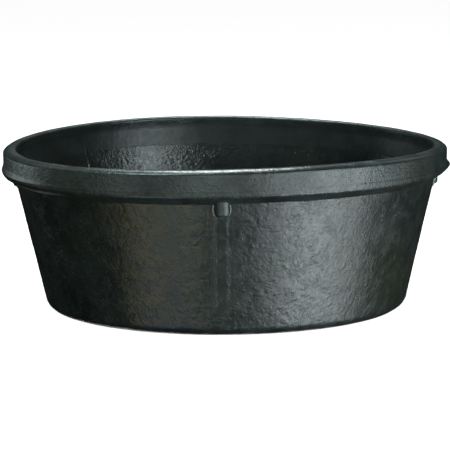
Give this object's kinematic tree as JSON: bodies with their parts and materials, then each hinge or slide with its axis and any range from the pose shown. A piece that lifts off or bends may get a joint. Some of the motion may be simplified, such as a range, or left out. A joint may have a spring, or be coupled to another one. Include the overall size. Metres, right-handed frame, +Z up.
{
  "type": "mortar mixing tub",
  "caption": "Round flared rubber tub with a flat floor, a heavy rolled rim band and upright stacking lugs in raised pockets under the rim, for mixing mortar by hand.",
  "frame": {"origin": "centre of the flat underside, on the surface the tub stands on", "axes": "+Z up along the tub's axis and out of its mouth, -Y towards the front, with the four stacking lugs on the -Y, +X, +Y and -X sides"},
  "size_m": [0.51, 0.51, 0.185],
  "materials": {
    "wall_rubber": "satin black fibre-filled rubber with a fine wrinkled skin and short fibre flecks",
    "rim_rubber": "satin black rubber, smoother than the wall, with faint streaks round the band",
    "lug_rubber": "satin black rubber, smooth from the mould"
  },
  "bodies": {
    "root": {"side_wall": "wall_rubber", "floor_panel": "wall_rubber", "rim_band": "rim_rubber", "stacking_lug_front": "lug_rubber", "stacking_lug_right": "lug_rubber", "stacking_lug_back": "lug_rubber", "stacking_lug_left": "lug_rubber", "lug_pocket_front": "lug_rubber", "lug_pocket_right": "lug_rubber", "lug_pocket_back": "lug_rubber", "lug_pocket_left": "lug_rubber", "wall_strip_front": "wall_rubber", "wall_strip_right": "wall_rubber", "wall_strip_back": "wall_rubber", "wall_strip_left": "wall_rubber"}
  },
  "joints": []
}
